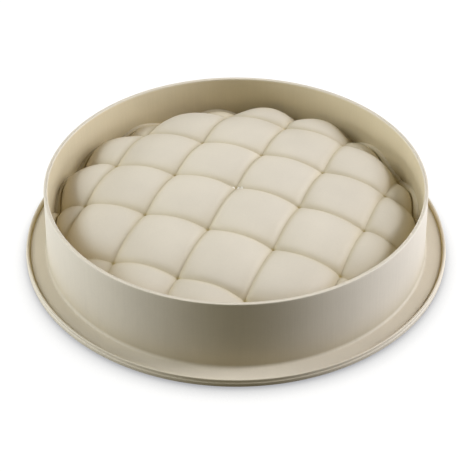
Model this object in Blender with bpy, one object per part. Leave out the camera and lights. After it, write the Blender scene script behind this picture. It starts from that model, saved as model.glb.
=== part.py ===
"""Round quilted cake mould in soft silicone, standing with its filling side down.

The mould is a shallow round cavity. A flat brim runs round its mouth on the table side, and the
brim's edge turns up in a stiffening lip. A ring wall rises from the brim, is the side of the cavity,
and stands on past the cavity's floor, so that the mould can be turned over and stand level on the
ring while it is filled. The floor of the cavity is a thin quilted dome, which leaves pillows on top
of the cake.

Lengths are metres and Z is up. The origin is the centre of the underside of the brim.
"""
import bmesh
import bpy
from math import ceil, cos, exp, floor, hypot, pi, radians, sin, sqrt, tan
from mathutils import Matrix, Vector
from mathutils.geometry import delaunay_2d_cdt

# Ring wall
RIM_RADIUS = 0.1000          # outside of the ring at its top
MOULD_HEIGHT = 0.0402        # underside of the brim to the top of the ring
RIM_THICKNESS = 0.00195
OUTER_DRAFT = radians(2.8)   # the outside widens towards the brim
CAVITY_DRAFT = radians(5.0)  # release draft of the cavity's side, below the dome
CAVITY_SIDE_HEIGHT = 0.0095  # of the drafted side, from the mouth up to just below the dome's edge
RIM_ROUND = 0.0005           # both edges of the rim's flat top
FOOT_FILLET = 0.0027         # outside, between wall and brim
MOUTH_ROUND = 0.0006         # edge of the cavity's mouth

# Brim and its lip
BRIM_WIDTH = 0.0130          # from the top of the ring's outside out to the parting ledge
BRIM_THICKNESS = 0.0020
LIP_HEIGHT = 0.0040          # underside of the brim to the top of the lip
LIP_THICKNESS = 0.0019
LIP_ROUND = 0.0005
LEDGE_WIDTH = 0.0004         # the parting ledge stands out past the lip
LEDGE_HEIGHT = 0.0020

# Quilted dome, seen from above
DOME_THICKNESS = 0.0025
CROWN_BELOW_RIM = 0.0072     # of the seam crossing at the centre, so that the ring stands proud
CROWN_DROP = 0.0108          # fall of the seam crossings from the centre to the wall
CROWN_POWER = 1.75           # how the fall grows with the radius
CHANNEL_WIDTH = 0.0020       # of the low channel between the dome and the wall, at a pillow's middle
CHANNEL_SCALLOP = 0.0018     # how much wider the channel is at a seam
CHANNEL_HEIGHT = 0.0125      # of the channel between shoulder and wall, at a seam
CHANNEL_RISE = 0.0065        # how much higher it is beside the middle of a pillow
SCALLOP_SOFTNESS = 1.5       # above 1 the channel is level where it crosses a seam
CHANNEL_BANK = 0.0007        # over which the channel's far side climbs to a narrow shelf
SHELF_RISE = 0.0013          # of that shelf, which runs level on to the wall
SHOULDER_WIDTH = 0.0180      # over which a pillow rolls down to the channel
SHOULDER_POWER = 2.2         # how full that roll is; 2 is an ellipse
SEAM_SHOULDER = 0.0030       # how much further in a seam starts to roll down
SEAM_SHOULDER_POWER = 1.3    # the seam's roll, which is flatter than a pillow's
QUILT_PITCH = 0.03565        # between neighbouring seams
QUILT_TURN = radians(-23.4)  # of the seams about Z
SEAM_ARCH = 0.0035           # rise of a seam halfway between two crossings
PILLOW_CROWN = 0.0017        # rise of a pillow's middle over the middle of its seams
SEAM_SHARPNESS = 0.8         # 1 is a sine; below 1 the crossings are sharper pits
CREASE_DEPTH = 0.0006        # of the narrow stitch line along each seam
CREASE_WIDTH = 0.0014

# Faces that touch on the real moulding are parted by this clearance
JOINT_GAP = 0.0003

# Facets
TURN_STEPS = 96
ROUND_STEPS = 3
FILLET_STEPS = 5
PILLOW_STEPS = 8             # grid lines across one pillow
SHOULDER_RINGS = 5

SILICONE_COLOUR = (0.694, 0.640, 0.533)
SILICONE_ROUGHNESS = 0.45


def clear_scene():
    for item in list(bpy.data.objects):
        bpy.data.objects.remove(item, do_unlink=True)


def silicone(name):
    """Satin pale silicone, one material for each region of the moulding."""
    material = bpy.data.materials.new(name)
    material.use_nodes = True
    shader = material.node_tree.nodes["Principled BSDF"]
    shader.inputs["Base Color"].default_value = (*SILICONE_COLOUR, 1.0)
    shader.inputs["Roughness"].default_value = SILICONE_ROUGHNESS
    shader.inputs["Metallic"].default_value = 0.0
    material.diffuse_color = (*SILICONE_COLOUR, 1.0)
    return material


def add_part(name, mesh):
    part = bpy.data.objects.new(name, mesh)
    bpy.context.collection.objects.link(part)
    mesh.materials.append(silicone(name + "_silicone"))
    return part


def rounded(before, corner, after, radius, steps):
    """Points of the arc that rounds a corner of a profile with the given radius."""
    corner = Vector(corner)
    towards_before = (Vector(before) - corner).normalized()
    towards_after = (Vector(after) - corner).normalized()
    half_angle = towards_before.angle(towards_after) / 2.0
    centre = corner + (towards_before + towards_after).normalized() * radius / sin(half_angle)
    start = corner + towards_before * radius / tan(half_angle) - centre
    end = corner + towards_after * radius / tan(half_angle) - centre
    sweep = start.angle_signed(end)
    spokes = [Matrix.Rotation(-sweep * step / steps, 2) @ start for step in range(steps + 1)]
    return [tuple(centre + spoke) for spoke in spokes]


def profile_points(corners):
    """Replace each corner (r, z, radius, steps) that has a radius by its arc."""
    points = []
    for index, (r, z, radius, steps) in enumerate(corners):
        if radius == 0.0:
            points.append((r, z))
            continue
        before = corners[index - 1][:2]
        after = corners[(index + 1) % len(corners)][:2]
        points.extend(rounded(before, (r, z), after, radius, steps))
    return points


def turned_mesh(name, corners):
    """Spin a closed profile about Z into a closed ring."""
    mesh = bpy.data.meshes.new(name)
    work = bmesh.new()
    loop = [work.verts.new((r, 0.0, z)) for r, z in profile_points(corners)]
    edges = [work.edges.new((loop[index - 1], loop[index])) for index in range(len(loop))]
    bmesh.ops.spin(work, geom=loop + edges, cent=(0, 0, 0), axis=(0, 0, 1), dvec=(0, 0, 0),
                   angle=2.0 * pi, steps=TURN_STEPS, use_merge=True, use_duplicate=False)
    bmesh.ops.recalc_face_normals(work, faces=work.faces)
    work.to_mesh(mesh)
    work.free()
    mesh.shade_smooth()
    mesh.set_sharp_from_angle(angle=radians(40.0))
    return mesh


def outer_radius(z):
    """Outside of the ring wall at height z."""
    return RIM_RADIUS + (MOULD_HEIGHT - z) * tan(OUTER_DRAFT)


def bore_radius():
    """Inside of the ring wall, straight from the rim down to the dome's edge."""
    return RIM_RADIUS - RIM_THICKNESS


def mouth_radius():
    """Inside of the ring wall at the cavity's mouth."""
    return bore_radius() + CAVITY_SIDE_HEIGHT * tan(CAVITY_DRAFT)


def brim_radius():
    """Edge of the brim, out to the parting ledge."""
    return RIM_RADIUS + BRIM_WIDTH


def channel_radius():
    """Where the dome's shoulder ends, in the middle of a pillow."""
    return bore_radius() - CHANNEL_WIDTH


def shoulder_radius():
    """Where the dome starts to roll down."""
    return channel_radius() - SHOULDER_WIDTH


def crown_height():
    """Of the seam crossing at the dome's centre."""
    return MOULD_HEIGHT - CROWN_BELOW_RIM


def foot_radius():
    """Where the wall's outer fillet has run out on the brim."""
    return outer_radius(BRIM_THICKNESS) + FOOT_FILLET


def lip_inner_radius():
    return brim_radius() - LEDGE_WIDTH - LIP_THICKNESS


def ring_wall():
    """The drafted ring, from the brim's underside to the rounded rim, with its foot fillet."""
    corners = [
        (mouth_radius(), 0.0, MOUTH_ROUND, ROUND_STEPS),
        (foot_radius(), 0.0, 0.0, 0),
        (foot_radius(), BRIM_THICKNESS, 0.0, 0),
        (outer_radius(BRIM_THICKNESS), BRIM_THICKNESS, FOOT_FILLET, FILLET_STEPS),
        (outer_radius(MOULD_HEIGHT), MOULD_HEIGHT, RIM_ROUND, ROUND_STEPS),
        (bore_radius(), MOULD_HEIGHT, RIM_ROUND, ROUND_STEPS),
        (bore_radius(), CAVITY_SIDE_HEIGHT, 0.0, 0),
    ]
    return add_part("ring_wall", turned_mesh("ring_wall", corners))


def base_brim():
    """The flat brim, between the foot of the wall and the lip."""
    inner = foot_radius() + JOINT_GAP
    outer = lip_inner_radius() - JOINT_GAP
    corners = [
        (inner, 0.0, 0.0, 0),
        (outer, 0.0, 0.0, 0),
        (outer, BRIM_THICKNESS, 0.0, 0),
        (inner, BRIM_THICKNESS, 0.0, 0),
    ]
    return add_part("base_brim", turned_mesh("base_brim", corners))


def brim_lip():
    """The upturned lip with the parting ledge halfway up its outside."""
    inner = lip_inner_radius()
    outer = inner + LIP_THICKNESS
    corners = [
        (inner, 0.0, 0.0, 0),
        (brim_radius(), 0.0, 0.0, 0),
        (brim_radius(), LEDGE_HEIGHT, 0.0, 0),
        (outer, LEDGE_HEIGHT, 0.0, 0),
        (outer, LIP_HEIGHT, LIP_ROUND, ROUND_STEPS),
        (inner, LIP_HEIGHT, LIP_ROUND, ROUND_STEPS),
    ]
    return add_part("brim_lip", turned_mesh("brim_lip", corners))


def swell(lattice):
    """0 on a seam and 1 halfway to the next, from one lattice coordinate."""
    return abs(sin(pi * lattice)) ** SEAM_SHARPNESS


def crease(lattice):
    """1 on a seam's stitch line, falling off within its width."""
    distance = abs(lattice - round(lattice)) * QUILT_PITCH
    return exp(-(distance / CREASE_WIDTH) ** 2)


def shelf_height(past_shoulder, full_height, inset):
    """Height over the channel on its far bank. The shelf is on top alone; the underside runs level."""
    bank = min(max(past_shoulder / CHANNEL_BANK, 0.0), 1.0)
    return full_height * (1.0 - inset / DOME_THICKNESS) * bank * bank * (3.0 - 2.0 * bank)


def dome_height(x, y, inset):
    """Height of the dome's surface at (x, y): its top, or its underside set in by the thickness."""
    radius = hypot(x, y)
    along = (x * cos(QUILT_TURN) + y * sin(QUILT_TURN)) / QUILT_PITCH
    across = (y * cos(QUILT_TURN) - x * sin(QUILT_TURN)) / QUILT_PITCH
    swell_a = swell(along)
    swell_b = swell(across)
    crease_a = crease(along)
    crease_b = crease(across)
    crown = crown_height() - inset - CROWN_DROP * (radius / bore_radius()) ** CROWN_POWER
    arches = SEAM_ARCH * (swell_a + swell_b) - (SEAM_ARCH - PILLOW_CROWN) * swell_a * swell_b
    stitches = CREASE_DEPTH * (crease_a + crease_b - crease_a * crease_b)
    top = crown + arches - stitches
    pillow = swell_a * swell_b
    inside_pillow = pillow ** SCALLOP_SOFTNESS
    channel = CHANNEL_HEIGHT - inset + CHANNEL_RISE * inside_pillow
    shoulder_start = shoulder_radius() - inset - SEAM_SHOULDER * (1.0 - inside_pillow)
    shoulder_end = channel_radius() - inset - CHANNEL_SCALLOP * (1.0 - inside_pillow)
    over = (radius - shoulder_start) / (shoulder_end - shoulder_start)
    over = min(max(over, 0.0), 1.0)
    power = SEAM_SHOULDER_POWER + (SHOULDER_POWER - SEAM_SHOULDER_POWER) * inside_pillow
    full_shelf = SHELF_RISE + CHANNEL_RISE * (pillow - inside_pillow)
    shelf = shelf_height(radius - shoulder_end, full_shelf, inset)
    return channel + shelf + (top - channel) * sqrt(1.0 - over ** power)


def quilt_line(index):
    """Lattice coordinate of a grid line. The lines crowd towards the seams and land on them."""
    cell, step = divmod(index, PILLOW_STEPS)
    return cell + (1.0 - cos(pi * step / PILLOW_STEPS)) / 2.0


def closed_ring(points, edges, radius):
    """Add a ring of points, one for each facet of the turned walls, and the edges that close it."""
    first = len(points)
    turn = 2.0 * pi / TURN_STEPS
    for step in range(TURN_STEPS):
        points.append(Vector((radius * cos(turn * step), radius * sin(turn * step))))
        edges.append((first + step, first + (step + 1) % TURN_STEPS))


def seam_line(points, edges, start, end):
    """Add one straight seam, given in the quilt's own directions."""
    turn = Matrix.Rotation(QUILT_TURN, 2)
    edges.append((len(points), len(points) + 1))
    points.append(turn @ Vector(start))
    points.append(turn @ Vector(end))


def quilt_plan():
    """Flat triangulation of the dome: rings near the wall, a grid in each pillow, and seam lines."""
    points = []
    edges = []
    rim = bore_radius() - JOINT_GAP
    closed_ring(points, edges, rim)
    spacing = QUILT_PITCH / PILLOW_STEPS
    inner_ring = shoulder_radius() + spacing
    for ring in range(SHOULDER_RINGS + 1):
        share = sin(0.5 * pi * ring / SHOULDER_RINGS)
        closed_ring(points, edges, inner_ring + (channel_radius() - inner_ring) * share)
    closed_ring(points, edges, channel_radius() + CHANNEL_BANK)
    turn = Matrix.Rotation(QUILT_TURN, 2)
    reach = ceil(rim / QUILT_PITCH) * PILLOW_STEPS
    lines = [quilt_line(index) * QUILT_PITCH for index in range(-reach, reach + 1)]
    for along in lines:
        for across in lines:
            if hypot(along, across) < inner_ring - spacing / 2.0:
                points.append(turn @ Vector((along, across)))
    seam_end = rim * cos(pi / TURN_STEPS) - JOINT_GAP
    last_seam = floor(seam_end / QUILT_PITCH)
    for seam in range(-last_seam, last_seam + 1):
        offset = seam * QUILT_PITCH
        half = sqrt(seam_end ** 2 - offset ** 2)
        seam_line(points, edges, (offset, -half), (offset, half))
        seam_line(points, edges, (-half, offset), (half, offset))
    plan = delaunay_2d_cdt(points, edges, [], 0, JOINT_GAP)
    return plan[0], plan[2]


def quilted_dome():
    """The cavity's floor: a quilted sheet that reaches the ring wall."""
    plan, triangles = quilt_plan()
    mesh = bpy.data.meshes.new("quilted_dome")
    work = bmesh.new()
    upper = [work.verts.new((x, y, dome_height(x, y, 0.0))) for x, y in plan]
    lower = [work.verts.new((x, y, dome_height(x, y, DOME_THICKNESS))) for x, y in plan]
    for triangle in triangles:
        work.faces.new([upper[index] for index in triangle])
    outline = [edge.verts for edge in work.edges if edge.is_boundary]
    under = dict(zip(upper, lower))
    for triangle in triangles:
        work.faces.new([lower[index] for index in reversed(triangle)])
    for start, end in outline:
        work.faces.new([end, start, under[start], under[end]])
    bmesh.ops.recalc_face_normals(work, faces=work.faces)
    work.to_mesh(mesh)
    work.free()
    mesh.shade_smooth()
    mesh.set_sharp_from_angle(angle=radians(40.0))
    return add_part("quilted_dome", mesh)


clear_scene()
ring_wall()
base_brim()
brim_lip()
quilted_dome()
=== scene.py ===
# Round quilted cake mould in platinum-cured silicone, standing on its brim with the filling side down.
# The whole mould is one soft moulding; its regions are dressed here one by one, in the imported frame.
from math import ceil, cos, exp, hypot, pi, radians, sin, sqrt, tan

import bmesh
import bpy
from mathutils import Matrix, Vector
from mathutils.geometry import delaunay_2d_cdt


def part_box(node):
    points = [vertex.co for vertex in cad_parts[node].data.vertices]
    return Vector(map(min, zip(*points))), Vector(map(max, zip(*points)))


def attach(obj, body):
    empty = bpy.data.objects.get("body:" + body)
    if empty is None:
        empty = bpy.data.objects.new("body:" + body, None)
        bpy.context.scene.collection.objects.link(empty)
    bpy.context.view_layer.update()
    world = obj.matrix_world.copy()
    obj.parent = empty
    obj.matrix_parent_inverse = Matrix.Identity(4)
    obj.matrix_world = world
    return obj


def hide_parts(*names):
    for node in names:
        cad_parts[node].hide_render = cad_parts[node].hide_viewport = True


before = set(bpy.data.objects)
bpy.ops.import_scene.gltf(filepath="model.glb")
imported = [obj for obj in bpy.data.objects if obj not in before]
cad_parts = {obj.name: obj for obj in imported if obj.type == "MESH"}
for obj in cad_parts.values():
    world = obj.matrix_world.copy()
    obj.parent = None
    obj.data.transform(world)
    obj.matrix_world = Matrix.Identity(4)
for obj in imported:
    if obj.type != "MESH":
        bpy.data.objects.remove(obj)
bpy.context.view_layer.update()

mm = 0.001


# Ring wall
# The side of the cavity, carried on past its floor as a ring that the mould stands on while it is
# filled. Moulded in one with the rest, in satin silicone, and drawn from its tool straight upwards.
ROUND_STEPS = 384             # points round each turned skin, and round the dome's edge that meets one
CORNER_STEP = radians(12)     # turn from point to point along a rounded corner
SHARP_ANGLE = radians(50)     # edges that turn by more than this stay crisp


def rounded_corner(before, corner, after, radius):
    """Arc points that round one corner of a profile."""
    corner = Vector(corner)
    to_before = (Vector(before) - corner).normalized()
    to_after = (Vector(after) - corner).normalized()
    half = to_before.angle(to_after) / 2
    centre = corner + (to_before + to_after).normalized() * radius / sin(half)
    start = corner + to_before * radius / tan(half) - centre
    end = corner + to_after * radius / tan(half) - centre
    sweep = start.angle_signed(end)
    steps = max(3, ceil(abs(sweep) / CORNER_STEP))
    return [tuple(centre + Matrix.Rotation(-sweep * step / steps, 2) @ start) for step in range(steps + 1)]


def profile(corners):
    """Closed outline from corners (r, z, rounding radius)."""
    outline = []
    for index, (r, z, radius) in enumerate(corners):
        before = corners[index - 1][:2]
        after = corners[(index + 1) % len(corners)][:2]
        outline += [(r, z)] if radius == 0 else rounded_corner(before, (r, z), after, radius)
    return outline


def turned(name, outline, painted_shade_at):
    """Spin a closed outline of (r, z) points about the mould's axis into a closed skin."""
    count = len(outline)
    verts, painted_shades, faces = [], [], []
    for step in range(ROUND_STEPS):
        angle = 2 * pi * step / ROUND_STEPS
        verts += [(r * cos(angle), r * sin(angle), z) for r, z in outline]
        painted_shades += [painted_shade_at(r, z) for r, z in outline]
        here, there = step * count, (step + 1) % ROUND_STEPS * count
        for point in range(count):
            after = (point + 1) % count
            faces.append((here + point, here + after, there + after, there + point))
    return finished_mesh(name, verts, faces, painted_shades)


def finished_mesh(name, verts, faces, painted_shades):
    """Make a smooth-shaded piece, with its faces turned outwards and how much painted shade it has at each
    point.
    """
    mesh = bpy.data.meshes.new(name)
    mesh.from_pydata(verts, [], faces)
    mesh.attributes.new("painted_shade", "FLOAT", "POINT").data.foreach_set("value", painted_shades)
    work = bmesh.new()
    work.from_mesh(mesh)
    bmesh.ops.recalc_face_normals(work, faces=work.faces)
    work.to_mesh(mesh)
    work.free()
    mesh.shade_smooth()
    mesh.set_sharp_from_angle(angle=SHARP_ANGLE)
    piece = bpy.data.objects.new(name, mesh)
    bpy.context.scene.collection.objects.link(piece)
    return piece


def linear(hex_colour):
    """sRGB hex colour as linear RGBA."""
    parts = [int(hex_colour[start:start + 2], 16) / 255 for start in (1, 3, 5)]
    return (*[part / 12.92 if part <= 0.04045 else ((part + 0.055) / 1.055) ** 2.4 for part in parts], 1)


def empty_tree(owner):
    """Node tree of a material or world, with nothing in it yet."""
    owner.use_nodes = True
    owner.node_tree.nodes.clear()
    return owner.node_tree


def add_node(tree, kind, settings=(), **inputs):
    """Add a node with its settings; inputs are values or the sockets that feed them."""
    made = tree.nodes.new("ShaderNode" + kind)
    for key, value in dict(settings).items():
        setattr(made, key, value)
    for key, value in inputs.items():
        socket = made.inputs[int(key[1:])] if key[0] == "_" else made.inputs[key.replace("_", " ")]
        if isinstance(value, bpy.types.NodeSocket):
            tree.links.new(value, socket)
        else:
            socket.default_value = value
    return made


def computed(tree, kind, operation, *values):
    """Outcome of a Math or VectorMath node."""
    inputs = {f"_{index}": value for index, value in enumerate(values)}
    return add_node(tree, kind, {"operation": operation}, **inputs).outputs[0]


def mapped(tree, value, span, onto):
    """A value taken from one range to another, and held at its ends."""
    return add_node(tree, "MapRange", Value=value, _1=span[0], _2=span[1], _3=onto[0], _4=onto[1]).outputs[0]


def blended(tree, share, first, second):
    """Colour from the first hex colour, at share 0, to the second, at share 1."""
    mix = add_node(tree, "Mix", {"data_type": "RGBA"}, _0=share, _6=linear(first), _7=linear(second))
    return mix.outputs[2]


SILICONE = "#DFD5C3"
# Deeper olive that creases and recesses are mixed towards, as painted shade.
PAINTED_SHADE_SILICONE = "#BCAA78"
SILICONE_IOR = 1.41
SHEEN = (0.50, 0.58)          # roughness, which drifts with the clouds
CLOUD_SIZE = 24 * mm
CLOUD_TONES = (0.965, 1.02)
SPECK_SIZE = 1.1 * mm
SPECK_TONES = (0.985, 1.012)
GRAIN_SIZE = 0.45 * mm
GRAIN_DEPTH = 0.02 * mm
LINE_RADIUS = 100 * mm        # where the draw lines have their true width
LINE_WIDTH = 1.6 * mm
LINE_LENGTH = 32 * mm
LINE_DEPTH = 0.1 * mm
LINE_TONE = 0.03              # lighter and darker
NOISE_MIDDLE = (0.3, 0.7)     # the range in which most of a noise lies
SPECK_MIDDLE = (0.25, 0.75)


def moulded_silicone(name, draw_lines, skin_colour=SILICONE):
    """Pigmented platinum-cured silicone from a fine-blasted steel tool.

    The blasted tool gives a satin skin with a grain too fine to see alone, the pigment clouds a
    little over some centimetres, and draw_lines is how far the tool has marked the skin on opening.
    Painted shade: a per-point share mixes a deeper olive into creases, recesses and the ring's inside and
    foot.
    A second per-point share darkens the skin evenly, as painted shade along the wall's foot.
    """
    material = bpy.data.materials.new(name)
    tree = empty_tree(material)
    place = add_node(tree, "TexCoord").outputs["Object"]
    radial = computed(tree, "VectorMath", "MULTIPLY", place, (1.0, 1.0, 0.0))
    round_axis = computed(tree, "VectorMath", "NORMALIZE", radial)
    line_rise = LINE_WIDTH / (LINE_RADIUS * LINE_LENGTH)
    upright = computed(tree, "VectorMath", "MULTIPLY", place, (0.0, 0.0, line_rise))
    on_wall = computed(tree, "VectorMath", "ADD", round_axis, upright)
    lines = add_node(tree, "TexNoise", Vector=on_wall, Scale=LINE_RADIUS / LINE_WIDTH, Detail=4.0,
                     Roughness=0.65).outputs["Fac"]
    clouds = add_node(tree, "TexNoise", Vector=place, Scale=1 / CLOUD_SIZE, Detail=3.0,
                      Roughness=0.5).outputs["Fac"]
    specks = add_node(tree, "TexNoise", Vector=place, Scale=1 / SPECK_SIZE, Detail=2.0,
                      Roughness=0.6).outputs["Fac"]
    cloudy = mapped(tree, clouds, NOISE_MIDDLE, CLOUD_TONES)
    speckled = mapped(tree, specks, SPECK_MIDDLE, SPECK_TONES)
    mottled = computed(tree, "Math", "MULTIPLY", cloudy, speckled)
    streaked = mapped(tree, lines, NOISE_MIDDLE, (1 - LINE_TONE * draw_lines, 1 + LINE_TONE * draw_lines))
    mottled_and_streaked = computed(tree, "Math", "MULTIPLY", mottled, streaked)
    # A second share of painted shade, at the wall's foot, darkens the skin evenly.
    painted_foot_shade = add_node(tree, "Attribute", {"attribute_name": "painted_foot_shade"}).outputs["Fac"]
    foot_darkened = mapped(tree, painted_foot_shade, (0.0, 1.0), (1.0, 0.0))
    tone = computed(tree, "Math", "MULTIPLY", mottled_and_streaked, foot_darkened)
    painted_shade = add_node(tree, "Attribute", {"attribute_name": "painted_shade"}).outputs["Fac"]
    # The skin's own colour, mixed towards the deeper olive by the painted shade.
    pigment = blended(tree, painted_shade, skin_colour, PAINTED_SHADE_SILICONE)
    colour = add_node(tree, "VectorMath", {"operation": "SCALE"}, _0=pigment, Scale=tone).outputs[0]

    grain = add_node(tree, "TexNoise", Vector=place, Scale=1 / GRAIN_SIZE, Detail=1.0).outputs["Fac"]
    marked = add_node(tree, "Bump", Height=lines, Distance=LINE_DEPTH, Strength=draw_lines).outputs[0]
    skin = add_node(tree, "Bump", Height=grain, Distance=GRAIN_DEPTH, Strength=0.5, Normal=marked).outputs[0]
    sheen = mapped(tree, clouds, NOISE_MIDDLE, SHEEN)
    shader = add_node(tree, "BsdfPrincipled", Base_Color=colour, Roughness=sheen, IOR=SILICONE_IOR,
                      Metallic=0.0, Normal=skin)
    add_node(tree, "OutputMaterial", Surface=shader.outputs[0])
    return material


CLEARANCE = 0.3 * mm          # between the solids of the frame, closed up in these skins
RIM_THICKNESS = 1.95 * mm
RIM_ROUND = 0.45 * mm
WITNESS_WIDTH = 0.45 * mm     # line left on the rim where the tool's halves meet
WITNESS_FLOOR = WITNESS_WIDTH / 4
WITNESS_DEPTH = 0.18 * mm
WITNESS_INSET = 0.75 * mm     # from the ring's inside
OUTER_DRAFT = radians(2.8)
CAVITY_DRAFT = radians(5.0)
CAVITY_SIDE_HEIGHT = 9.5 * mm
CHANNEL_HEIGHT = 12.5 * mm    # of the channel between this wall and the dome
FOOT_FILLET = 1.5 * mm
FOOT_WIDTH = 2.7 * mm         # how far the wall's own foot reaches out on to the brim
MOUTH_ROUND = 0.6 * mm
OUTER_ROWS = (6, 8, 11, 15, 20, 28, 36)                    # heights in mm that carry the tone outside
INNER_ROWS = (38.8, 37, 34, 30, 26, 22, 20, 18, 16, 14)    # and inside, from the rim down
RIM_FADE = 1.2 * mm           # over which the rim's unshaded tone gives way to the painted shade
# Painted shade on the wall, as shares of the olive: inside the ring, deeper beside the dome, and at the
# outer foot.
INSIDE_TONE = 0.55
DEEP_TONE = 0.2               # added beside the dome
DEEP_HEIGHT = CHANNEL_HEIGHT + 4 * mm
DEEP_REACH = 3 * mm           # each reach is the height over which a tone halves
FOOT_TONE = 0.32
FOOT_REACH = 4 * mm
FILLET_RELIEF = 0.17          # taken off where the fillet has turned flat
# Painted shade that darkens the outside evenly just above its foot, fading upwards.
FOOT_SHADE = 0.25
FOOT_SHADE_REACH = 4.5 * mm
FOOT_SHADE_EDGE_POWER = 3           # how late in the fillet the painted foot shade ends

mould_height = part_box("ring_wall")[1].z
brim_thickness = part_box("base_brim")[1].z
bore_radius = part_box("quilted_dome")[1].x + CLEARANCE
rim_radius = bore_radius + RIM_THICKNESS
mouth_radius = bore_radius + CAVITY_SIDE_HEIGHT * tan(CAVITY_DRAFT)
wall_foot = rim_radius + (mould_height - brim_thickness) * tan(OUTER_DRAFT)
foot_radius = wall_foot + FOOT_WIDTH
witness_radius = bore_radius + WITNESS_INSET


def clamped(value):
    """value, held between 0 and 1."""
    return min(1, max(0, value))


def halving(distance, reach):
    """1 at no distance, and halved by each further reach."""
    return 2 ** (-distance / reach)


def at_foot(z):
    """How far z is above the fillet of the outer foot, and how deep down in it, from 0 to 1."""
    above_foot = max(0, z - brim_thickness - FOOT_FILLET)
    in_fillet = 1 - clamped((z - brim_thickness) / FOOT_FILLET)
    return above_foot, in_fillet


def wall_painted_shade(r, z):
    """Painted shade: deeper at the outer foot, inside the ring, and most of all down beside the dome."""
    inside = clamped((rim_radius - RIM_THICKNESS / 2 - r) / (RIM_THICKNESS / 2))
    below_rim = min(1, (mould_height - z) / RIM_FADE)
    above_foot, in_fillet = at_foot(z)
    deep_inside = INSIDE_TONE + DEEP_TONE * halving(max(0, z - DEEP_HEIGHT), DEEP_REACH)
    foot = FOOT_TONE * halving(above_foot, FOOT_REACH) - FILLET_RELIEF * in_fillet
    return below_rim * (inside * deep_inside + (1 - inside) * foot)


def wall_foot_shade(place):
    """How much painted shade darkens the outside: most just above the foot, little halfway up, none on the
    brim.
    """
    outside = hypot(place.x, place.y) > bore_radius + RIM_THICKNESS / 2
    above_foot, in_fillet = at_foot(place.z)
    return outside * FOOT_SHADE * halving(above_foot, FOOT_SHADE_REACH) * (1 - in_fillet ** FOOT_SHADE_EDGE_POWER)


ring_wall = turned("ring_wall_skin", profile([
    (mouth_radius, 0, MOUTH_ROUND),
    (foot_radius, 0, 0),
    (foot_radius, brim_thickness, 0),
    (wall_foot, brim_thickness, FOOT_FILLET),
    *[(rim_radius + (mould_height - z * mm) * tan(OUTER_DRAFT), z * mm, 0) for z in OUTER_ROWS],
    (rim_radius, mould_height, RIM_ROUND),
    (witness_radius + WITNESS_WIDTH / 2, mould_height, 0),
    (witness_radius + WITNESS_FLOOR / 2, mould_height - WITNESS_DEPTH, 0),
    (witness_radius - WITNESS_FLOOR / 2, mould_height - WITNESS_DEPTH, 0),
    (witness_radius - WITNESS_WIDTH / 2, mould_height, 0),
    (bore_radius, mould_height, RIM_ROUND),
    *[(bore_radius, z * mm, 0) for z in INNER_ROWS],
    (bore_radius, CAVITY_SIDE_HEIGHT, 0),
]), wall_painted_shade)
# Painted shade along the outer foot, stored per point beside the olive one.
foot_shade_layer = ring_wall.data.attributes.new("painted_foot_shade", "FLOAT", "POINT")
foot_shade_layer.data.foreach_set("value", [wall_foot_shade(vert.co) for vert in ring_wall.data.vertices])
# Fine upright streaks, left as the tool slid off it, break up the sheen all round the wall.
ring_wall.data.materials.append(moulded_silicone("ring_wall_drawn_silicone", draw_lines=0.5))
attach(ring_wall, "root")
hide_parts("ring_wall")


# Base brim
# The flat flange round the cavity's mouth, the same silicone as the wall. It lies on the table here.
# Its underside is moulded flat, so that the filling can be struck off level along it.
LIP_FOOT_RADIUS = 110.0 * mm  # where the lip's piece takes over from the brim's
PLATE_TONE = 0.15             # on flat silicone, a little deeper than on the pillows

base_brim = turned("base_brim_skin", profile([
    (foot_radius, 0, 0),
    (LIP_FOOT_RADIUS, 0, 0),
    (LIP_FOOT_RADIUS, brim_thickness, 0),
    (foot_radius, brim_thickness, 0),
]), lambda r, z: PLATE_TONE)
# Satin from the blasted tool, without streaks: an even, soft sheen.
base_brim.data.materials.append(moulded_silicone("base_brim_satin_silicone", draw_lines=0.0))
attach(base_brim, "root")
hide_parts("base_brim")


# Brim lip
# The brim's edge, turned up to stiffen it so that a full mould can be carried. Its inside slopes up
# from a small groove, and halfway up its outside is the ledge where the two halves of the tool met.
LIP_THICKNESS = 1.6 * mm
LIP_TAPER = 0.5 * mm          # by which its inside leans outwards
LIP_ROUND = 0.45 * mm
LIP_EDGE_ROUND = 0.2 * mm
LEDGE_WIDTH = 0.4 * mm
LEDGE_EDGE = 1.9 * mm         # height of the ledge's edge
LEDGE_INSIDE = 2.45 * mm      # and of its inner corner
LEDGE_ROUND = 0.15 * mm
LIP_GROOVE_DEPTH = 0.25 * mm
LIP_GROOVE_WIDTH = 0.55 * mm
LIP_GROOVE_ROUND = 0.25 * mm
# Painted shade in the groove at the lip's inside, as a share of the olive.
GROOVE_TONE = 1.0
GROOVE_TONE_REACH = 0.95 * LIP_GROOVE_WIDTH
GROOVE_TONE_TOP = 3.0 * mm

brim_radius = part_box("brim_lip")[1].x
lip_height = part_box("brim_lip")[1].z
lip_outer = brim_radius - LEDGE_WIDTH
lip_inner = lip_outer - LIP_THICKNESS


def lip_painted_shade(r, z):
    """Painted shade: deepest in the groove, from where it fades up the lip's inside."""
    in_groove = abs(r - lip_inner) < GROOVE_TONE_REACH and z < GROOVE_TONE_TOP
    return GROOVE_TONE if in_groove else PLATE_TONE


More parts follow.
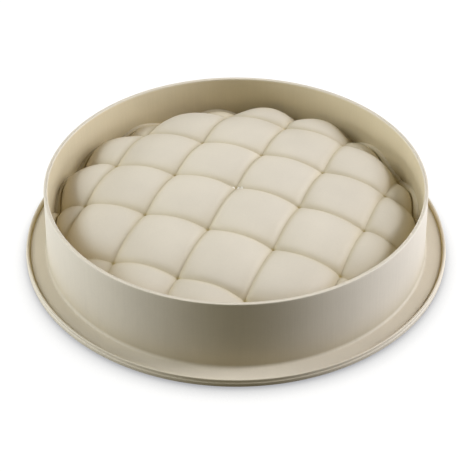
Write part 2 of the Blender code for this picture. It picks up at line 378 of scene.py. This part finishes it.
brim_lip = turned("brim_lip_skin", profile([
    (LIP_FOOT_RADIUS, 0, 0),
    (brim_radius, 0, LIP_EDGE_ROUND),
    (brim_radius, LEDGE_EDGE, LEDGE_ROUND),
    (lip_outer, LEDGE_INSIDE, LIP_EDGE_ROUND),
    (lip_outer, lip_height, LIP_ROUND),
    (lip_inner + LIP_TAPER, lip_height, LIP_ROUND),
    (lip_inner, brim_thickness - LIP_GROOVE_DEPTH, LIP_GROOVE_ROUND),
    (lip_inner - LIP_GROOVE_WIDTH, brim_thickness, 0),
    (LIP_FOOT_RADIUS, brim_thickness, 0),
]), lip_painted_shade)
# The same satin as the brim: a soft line of light runs round its edges.
brim_lip.data.materials.append(moulded_silicone("brim_lip_satin_silicone", draw_lines=0.0))
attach(brim_lip, "root")
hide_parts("brim_lip")


# Quilted dome
# The floor of the cavity, seen from outside: a silicone sheet of even thickness with a pillow in each
# square of the quilt. Its tool was cut pillow by pillow, so narrow stitch lines stay between them.
QUILT_PITCH = 35.65 * mm
QUILT_TURN = radians(-23.4)
DOME_THICKNESS = 2.5 * mm
CROWN_BELOW_RIM = 7.2 * mm
CROWN_DROP = 10.8 * mm        # of the whole quilt from its middle to the ring wall
CROWN_POWER = 1.75
SEAM_ARCH = 3.5 * mm          # of a seam between two crossings
PILLOW_CROWN = 1.7 * mm
SEAM_SHARPNESS = 0.8
STITCH_DEPTH = 0.85 * mm
STITCH_WIDTH = 1.5 * mm
CROSSING_PIT = 0.4 * mm       # deeper still where two stitch lines cross
CHANNEL_WIDTH = 2.0 * mm
CHANNEL_SCALLOP = 1.8 * mm
CHANNEL_RISE = 6.5 * mm
SCALLOP_SOFTNESS = 1.5
CHANNEL_BANK = 0.7 * mm       # over which a narrow shelf rises from the channel, on to the ring wall
SHELF_RISE = 1.3 * mm
SHOULDER_WIDTH = 18.0 * mm
SEAM_SHOULDER = 3.0 * mm      # by which the seams start to roll down further in than the pillows
SHOULDER_POWER = 2.2
SEAM_SHOULDER_POWER = 1.3
UNDER_FILLET = 1.0 * mm       # from the cavity's floor down its side
# Painted shade on the dome, as shares of the olive: along the stitches, in the pits and dips, and in the
# channel.
STITCH_TONE = 0.17
CROSSING_TONE = 0.7
DIP_TONE = 0.25               # in the dips beside the stitches
DIP_POWER = 4
CHANNEL_TONE = 0.7
CHANNEL_TONE_POWER = 2.5
SHELF_RELIEF = 0.4            # share of the painted shade taken off on the shelf
PILLOW_STEPS = 24             # grid lines across a pillow
ROLL_RINGS = 26               # from where the dome rolls down to the channel
ROLL_RINGS_INSET = 3 * mm
CHANNEL_RINGS = 10
GRID_GAP = 0.4 * mm           # between the grid and the first ring
SEAM_END_GAP = 1 * mm         # between a seam's last point and the ring wall
MERGED_STEP = 0.05 * mm       # points closer together than this become one


def lattice_place(x, y):
    """Position on the quilt's lattice, on which each seam is at a whole number."""
    along = (x * cos(QUILT_TURN) + y * sin(QUILT_TURN)) / QUILT_PITCH
    across = (y * cos(QUILT_TURN) - x * sin(QUILT_TURN)) / QUILT_PITCH
    return along, across


def swell(lattice):
    """0 on a seam and 1 halfway to the next."""
    return abs(sin(pi * lattice)) ** SEAM_SHARPNESS


def stitch(lattice):
    """1 on a seam's stitch line, falling off within its width."""
    distance = abs(lattice - round(lattice)) * QUILT_PITCH
    return exp(-((distance / STITCH_WIDTH) ** 2))


def quilt_height(x, y, inset):
    """Top of the dome at (x, y), or its underside set in by the thickness, without the wall's fillet."""
    radius = hypot(x, y)
    along, across = lattice_place(x, y)
    swell_a, swell_b = swell(along), swell(across)
    stitch_a, stitch_b = stitch(along), stitch(across)
    pillow, crossing = swell_a * swell_b, stitch_a * stitch_b
    crown = mould_height - CROWN_BELOW_RIM - inset - CROWN_DROP * (radius / bore_radius) ** CROWN_POWER
    arches = SEAM_ARCH * (swell_a + swell_b) - (SEAM_ARCH - PILLOW_CROWN) * pillow
    stitched = STITCH_DEPTH * (stitch_a + stitch_b - crossing) + CROSSING_PIT * crossing ** 2
    top = crown + arches - stitched

    inside_pillow = pillow ** SCALLOP_SOFTNESS
    at_seam = 1 - inside_pillow
    channel = CHANNEL_HEIGHT - inset + CHANNEL_RISE * inside_pillow
    channel_edge = bore_radius - CHANNEL_WIDTH - inset
    shoulder_end = channel_edge - CHANNEL_SCALLOP * at_seam
    shoulder_start = channel_edge - SHOULDER_WIDTH - SEAM_SHOULDER * at_seam
    over = clamped((radius - shoulder_start) / (shoulder_end - shoulder_start))
    power = SEAM_SHOULDER_POWER + (SHOULDER_POWER - SEAM_SHOULDER_POWER) * inside_pillow
    bank = clamped((radius - shoulder_end) / CHANNEL_BANK)
    shelf = (SHELF_RISE + CHANNEL_RISE * (pillow - inside_pillow)) * (1 - inset / DOME_THICKNESS)
    return channel + shelf * bank * bank * (3 - 2 * bank) + (top - channel) * sqrt(1 - over ** power)


def quilt_painted_shade(x, y):
    """Painted shade: deepest in the channel and pits, less on and beside the stitches, 0 on the pillows."""
    along, across = lattice_place(x, y)
    stitch_a, stitch_b = stitch(along), stitch(across)
    dip = 1 - swell(along) * swell(across)
    past_channel_edge = hypot(x, y) - (bore_radius - CHANNEL_WIDTH)
    rolled = clamped(1 + past_channel_edge / SHOULDER_WIDTH)
    on_shelf = clamped(past_channel_edge / CHANNEL_BANK)
    seams = STITCH_TONE * max(stitch_a, stitch_b) * (1 - rolled ** 2) + DIP_TONE * dip ** DIP_POWER
    pits = CROSSING_TONE * (stitch_a * stitch_b) ** 2
    channel = CHANNEL_TONE * rolled ** CHANNEL_TONE_POWER
    return min(1, seams + pits + channel) * (1 - SHELF_RELIEF * on_shelf)


def fillet_drop(radius, size):
    """How far a fillet of this size against the cavity's side takes the underside down at a radius."""
    into = min(max(radius - bore_radius + size, 0), size)
    return size - sqrt(size * size - into * into)


def quilt_line(index):
    """Lattice coordinate of a grid line; the lines crowd towards the seams and land on them."""
    cell, step = divmod(index, PILLOW_STEPS)
    return cell + (1 - cos(pi * step / PILLOW_STEPS)) / 2


def closed_ring(points, edges, radius):
    """Add a ring of points and the edges that close it."""
    first = len(points)
    for step in range(ROUND_STEPS):
        angle = 2 * pi * step / ROUND_STEPS
        points.append(Vector((radius * cos(angle), radius * sin(angle))))
        edges.append((first + step, first + (step + 1) % ROUND_STEPS))


def quilt_plan():
    """Flat triangulation: fine rings where the dome rolls down to the wall, and a grid inside them."""
    points, edges = [], []
    turn = Matrix.Rotation(QUILT_TURN, 2)
    rolls_to = bore_radius - CHANNEL_WIDTH
    rolls_from = rolls_to - SHOULDER_WIDTH + ROLL_RINGS_INSET
    radii = [rolls_from + (rolls_to - rolls_from) * sin(pi / 2 * ring / ROLL_RINGS)
             for ring in range(ROLL_RINGS + 1)]
    radii += [rolls_to + CHANNEL_WIDTH * ring / CHANNEL_RINGS for ring in range(1, CHANNEL_RINGS + 1)]
    for radius in radii:
        closed_ring(points, edges, radius)
    reach = ceil(rolls_from / QUILT_PITCH) * PILLOW_STEPS
    lines = [quilt_line(index) * QUILT_PITCH for index in range(-reach, reach + 1)]
    points += [turn @ Vector((along, across)) for along in lines for across in lines
               if hypot(along, across) < rolls_from - GRID_GAP]
    last_seam = int(bore_radius / QUILT_PITCH)
    for seam in range(-last_seam, last_seam + 1):
        offset = seam * QUILT_PITCH
        half = sqrt((bore_radius - SEAM_END_GAP) ** 2 - offset ** 2)
        for start, end in (((offset, -half), (offset, half)), ((-half, offset), (half, offset))):
            edges.append((len(points), len(points) + 1))
            points += [turn @ Vector(start), turn @ Vector(end)]
    plan = delaunay_2d_cdt(points, edges, [], 0, MERGED_STEP)
    return plan[0], plan[2]


def quilted_sheet(name):
    """The dome's top and underside on one plan, closed round the edge."""
    plan, triangles = quilt_plan()
    count = len(plan)
    top = [(x, y, quilt_height(x, y, 0)) for x, y in plan]
    under = [(x, y, quilt_height(x, y, DOME_THICKNESS) - fillet_drop(hypot(x, y), UNDER_FILLET))
             for x, y in plan]
    faces = [tuple(face) for face in triangles]
    faces += [tuple(count + index for index in reversed(face)) for face in triangles]
    sides = [(face[index - 1], face[index]) for face in triangles for index in (1, 2, 0)]
    shared = set(sides)
    faces += [(b, a, count + a, count + b) for a, b in sides if (b, a) not in shared]
    painted_shades = [quilt_painted_shade(x, y) for x, y in plan]
    return finished_mesh(name, top + under, faces, painted_shades + painted_shades)


quilted_dome = quilted_sheet("quilted_dome_skin")
# Soft and satin on every pillow, so that light fades over them without a hard highlight.
quilted_dome.data.materials.append(moulded_silicone("quilted_dome_soft_silicone", draw_lines=0.0))
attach(quilted_dome, "root")
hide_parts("quilted_dome")


# Gate mark
# The remains, in the middle of the quilt, of where the silicone was shot into the tool. They were torn
# off by hand, so three low nubs stand up in a row, thinly joined, in the dome's own silicone.
# Paler than the dome's skin: a painted highlight, so that the nubs read as glints.
GLINT_PAINTED_SILICONE = "#F0EADC"
GATE_NUBS = (                 # each nub's x, y and height
    (-1.15 * mm, 0.15 * mm, 0.75 * mm),
    (1.10 * mm, -0.35 * mm, 1.15 * mm),
    (2.90 * mm, -1.10 * mm, 0.80 * mm),
)
GATE_NUB_RADIUS = 0.62 * mm
GATE_LENGTH = 7.4 * mm
GATE_WIDTH = 5.2 * mm
GATE_SUNK = 0.15 * mm         # of its edge, under the dome's skin
GATE_ROOT = 1 * mm            # of its underside, in the dome's sheet
GATE_RINGS = 16
GATE_STEPS = 72


def torn_height(x, y):
    """How far the torn nubs stand up from the dome at (x, y)."""
    nubs = [height * exp(-((x - nub_x) ** 2 + (y - nub_y) ** 2) / GATE_NUB_RADIUS ** 2)
            for nub_x, nub_y, height in GATE_NUBS]
    return sum(nubs) - GATE_SUNK


def gate_skin(name):
    """Closed patch over the crossing of the seams, with the nubs on its top."""
    middle = sum(nub_x for nub_x, _, _ in GATE_NUBS) / len(GATE_NUBS)
    plan = [(middle, 0)]
    for ring in range(1, GATE_RINGS + 1):
        for step in range(GATE_STEPS):
            angle = 2 * pi * step / GATE_STEPS
            plan.append((middle + GATE_LENGTH / 2 * ring / GATE_RINGS * cos(angle),
                         GATE_WIDTH / 2 * ring / GATE_RINGS * sin(angle)))
    count = len(plan)
    top = [(x, y, quilt_height(x, y, 0) + torn_height(x, y)) for x, y in plan]
    under = [(x, y, quilt_height(x, y, 0) - GATE_ROOT) for x, y in plan]
    faces = []
    for step in range(GATE_STEPS):
        after = (step + 1) % GATE_STEPS
        faces += [(0, 1 + step, 1 + after), (count, count + 1 + after, count + 1 + step)]
        for ring in range(GATE_RINGS - 1):
            inner, outer = 1 + ring * GATE_STEPS, 1 + (ring + 1) * GATE_STEPS
            patch = (inner + step, outer + step, outer + after, inner + after)
            faces += [patch, tuple(count + point for point in reversed(patch))]
        edge = 1 + (GATE_RINGS - 1) * GATE_STEPS
        faces.append((edge + step, count + edge + step, count + edge + after, edge + after))
    return finished_mesh(name, top + under, faces, [0.0] * 2 * count)


gate_mark = gate_skin("gate_mark")
# Torn, not moulded, so it is paler than the skin round it and catches the light in points.
# Painted paler than the skin round it, a painted highlight, so that its nubs read as points of light.
glint_painted_silicone = moulded_silicone("gate_mark_glint_painted_silicone", draw_lines=0.0, skin_colour=GLINT_PAINTED_SILICONE)
gate_mark.data.materials.append(glint_painted_silicone)
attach(gate_mark, "root")


# Studio floor
# A plain pale sweep of paper. The camera sees it white, with a soft shade where the mould is near, while
# the light that it throws back on the mould is that of a plain table.
FLOOR_REACH = 3.0             # metres each way
FLOOR_DROP = 0.05 * mm        # just clear of the brim's underside
WHITE = "#FFFFFF"
SHADED_PAPER = "#ACADB1"
LIT_PAPER = "#45423A"
SHADE_REACH = 22 * mm
SHADE_LEAN = 0.75             # backwards, which makes the shade fall further to the front
SHADE_SPAN = (0.43, 0.93)     # openness at which the paper is in full shade, and in none

floor_mesh = bpy.data.meshes.new("studio_floor")
floor_corners = [(x * FLOOR_REACH, y * FLOOR_REACH, 0) for x, y in ((-1, -1), (1, -1), (1, 1), (-1, 1))]
floor_mesh.from_pydata(floor_corners, [], [(0, 1, 2, 3)])
floor = bpy.data.objects.new("studio_floor", floor_mesh)
floor.location.z = -FLOOR_DROP
bpy.context.scene.collection.objects.link(floor)

# Matt paper: it has no highlight, only the shade that gathers at the mould's foot.
paper = bpy.data.materials.new("matt_studio_paper")
paper_tree = empty_tree(paper)
rays = add_node(paper_tree, "LightPath").outputs
seen_or_mirrored = computed(paper_tree, "Math", "MAXIMUM", rays["Is Camera Ray"], rays["Is Glossy Ray"])
seen = computed(paper_tree, "Math", "MAXIMUM", seen_or_mirrored, rays["Is Transmission Ray"])
lit = add_node(paper_tree, "BsdfDiffuse", Color=linear(LIT_PAPER)).outputs[0]
straight_up = add_node(paper_tree, "NewGeometry").outputs["Normal"]
leaning = computed(paper_tree, "VectorMath", "ADD", straight_up, (0.0, SHADE_LEAN, 0.0))
backwards = computed(paper_tree, "VectorMath", "NORMALIZE", leaning)
near = add_node(paper_tree, "AmbientOcclusion", {"samples": 16}, Color=linear(WHITE), Distance=SHADE_REACH,
                Normal=backwards).outputs["AO"]
openness = mapped(paper_tree, near, SHADE_SPAN, (0.0, 1.0))
shaded = blended(paper_tree, openness, SHADED_PAPER, WHITE)
white = add_node(paper_tree, "Emission", Color=shaded, Strength=1.0).outputs[0]
both = add_node(paper_tree, "AddShader", _0=lit, _1=white).outputs[0]
paper_skin = add_node(paper_tree, "MixShader", _0=seen, _1=lit, _2=both).outputs[0]
add_node(paper_tree, "OutputMaterial", Surface=paper_skin)
floor_mesh.materials.append(paper)

# The air is white to the camera and gives no light.
air = bpy.data.worlds.new("studio_air")
bpy.context.scene.world = air
air_tree = empty_tree(air)
looked_at = add_node(air_tree, "LightPath").outputs["Is Camera Ray"]
dim = add_node(air_tree, "Background", Color=linear(WHITE), Strength=0.0).outputs[0]
bright = add_node(air_tree, "Background", Color=linear(WHITE), Strength=1.0).outputs[0]
air_glow = add_node(air_tree, "MixShader", _0=looked_at, _1=dim, _2=bright).outputs[0]
add_node(air_tree, "OutputWorld", Surface=air_glow)


# Studio light
# Most light comes from soft boxes to the left and right, from near the table to high up, so that the
# ring's sides are bright and its front stays in its own shade. Weak boxes behind and overhead light the
# crown of the quilt, and one weak box in front keeps the shade from going black.
def soft_box(name, place, size, watts, colour):
    """Area lamp aimed at the middle of the mould, with its place and size in metres."""
    lamp = bpy.data.lights.new(name, "AREA")
    lamp.shape = "RECTANGLE"
    lamp.size, lamp.size_y = size
    lamp.color = linear(colour)[:3]
    lamp.energy = watts
    box = bpy.data.objects.new(name, lamp)
    bpy.context.scene.collection.objects.link(box)
    box.location = place
    box.visible_camera = False
    aim = Vector((0, 0, mould_height / 2)) - Vector(place)
    box.rotation_euler = aim.to_track_quat("-Z", "Y").to_euler()


soft_box("left_soft_box", (-0.98, -0.05, 0.68), (0.7, 0.5), 7.2, "#F7FCFF")
soft_box("left_low_strip", (-1.19, 0.04, 0.16), (0.4, 0.2), 7.0, "#EDF4FF")
soft_box("left_back_box", (-0.80, 0.29, 0.87), (0.4, 0.25), 2.2, "#F7FDFF")
soft_box("right_soft_box", (0.98, 0.14, 0.62), (0.6, 0.5), 6.2, "#F6F8FF")
soft_box("right_high_box", (0.85, 0.0, 0.87), (0.4, 0.25), 4.4, "#F6F8FF")
soft_box("right_strip", (1.13, 0.0, 0.43), (0.4, 0.25), 3.1, "#F0F3FF")
soft_box("right_low_strip", (1.19, 0.08, 0.16), (0.4, 0.2), 6.1, "#ECF1FF")
soft_box("back_soft_box", (-0.2, 1.15, 0.30), (0.5, 0.4), 1.3, "#FFF4D8")
soft_box("top_back_box", (0.0, 0.31, 1.18), (0.4, 0.25), 1.0, "#FFF4D8")
soft_box("front_fill", (-0.35, -1.10, 0.30), (0.8, 0.30), 1.50, "#F4EAB6")


# Camera
# Looks down on the mould from the front at the photograph's angle, through a long lens, from about
# 0.64 m away.
CAMERA_PLACE = (0, -0.50265, 0.4031)
CAMERA_DOWN = 38.70           # degrees
LENS = 90.24                  # mm, for a sensor 36 mm wide

camera_data = bpy.data.cameras.new("camera")
camera_data.sensor_width = 36
camera_data.lens = LENS
camera_data.clip_start = 0.01
camera = bpy.data.objects.new("camera", camera_data)
bpy.context.scene.collection.objects.link(camera)
camera.location = CAMERA_PLACE
camera.rotation_euler = (radians(90 - CAMERA_DOWN), 0, 0)
bpy.context.scene.camera = camera
bpy.context.scene.view_settings.view_transform = "Standard"
